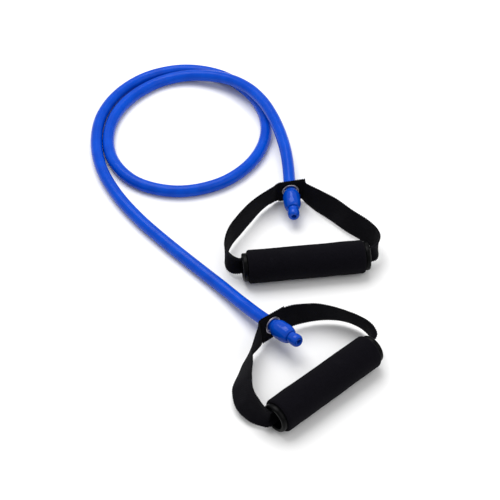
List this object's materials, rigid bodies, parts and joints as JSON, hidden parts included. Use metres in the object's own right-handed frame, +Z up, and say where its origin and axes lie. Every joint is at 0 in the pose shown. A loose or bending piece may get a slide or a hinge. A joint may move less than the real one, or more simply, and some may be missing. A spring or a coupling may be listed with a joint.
{
  "type": "resistance band",
  "caption": "Elastic exercise tube with a swivelling webbing loop and a foam-covered grip at each end, laid out with one loop in the tube.",
  "frame": {"origin": "centre of the two handles' bounding box, at floor level", "axes": "+Z up, +X along handle A's grip, +Y from handle B towards handle A; the tube isn't counted"},
  "size_m": [0.2689, 0.5205, 0.0319],
  "materials": {
    "blue_latex": "smooth, slightly glossy",
    "blue_stopper": "smooth moulded",
    "black_webbing": "plain-woven webbing",
    "black_foam": "matt closed-cell foam",
    "black_plastic": "moulded, semi-gloss",
    "nickel_plate": "bright plated sheet"
  },
  "bodies": {
    "band": {"elastic_tube": "blue_latex", "tube_end_a": "blue_latex", "stopper_a": "blue_stopper", "tube_end_b": "blue_latex", "stopper_b": "blue_stopper"},
    "handle_a": {"webbing_strap_a": "black_webbing", "eyelet_a": "nickel_plate", "washer_a": "nickel_plate"},
    "grip_a": {"grip_core_a": "black_plastic", "end_bush_a_left": "black_plastic", "end_bush_a_right": "black_plastic", "foam_grip_a": "black_foam"},
    "handle_b": {"webbing_strap_b": "black_webbing", "eyelet_b": "nickel_plate", "washer_b": "nickel_plate"},
    "grip_b": {"grip_core_b": "black_plastic", "end_bush_b_left": "black_plastic", "end_bush_b_right": "black_plastic", "foam_grip_b": "black_foam"}
  },
  "joints": [
    {"name": "handle_a_swivel", "type": "hinge", "parent": "band", "child": "handle_a", "pos_m": [0.0061, 0.1446, 0.01666], "axis": [-0.0523, -0.9973, -0.0523], "continuous": true},
    {"name": "grip_a_spin", "type": "hinge", "parent": "handle_a", "child": "grip_a", "pos_m": [0.0059, 0.0436, 0.01596], "axis": [1, 0, 0], "continuous": true},
    {"name": "handle_b_swivel", "type": "hinge", "parent": "band", "child": "handle_b", "pos_m": [-0.03751, -0.03253, 0.01726], "axis": [0.5418, -0.8186, 0.1908], "continuous": true},
    {"name": "grip_b_spin", "type": "hinge", "parent": "handle_b", "child": "grip_b", "pos_m": [-0.001, -0.1056, 0.01596], "axis": [0.8241, 0.5664, 0], "continuous": true}
  ]
}
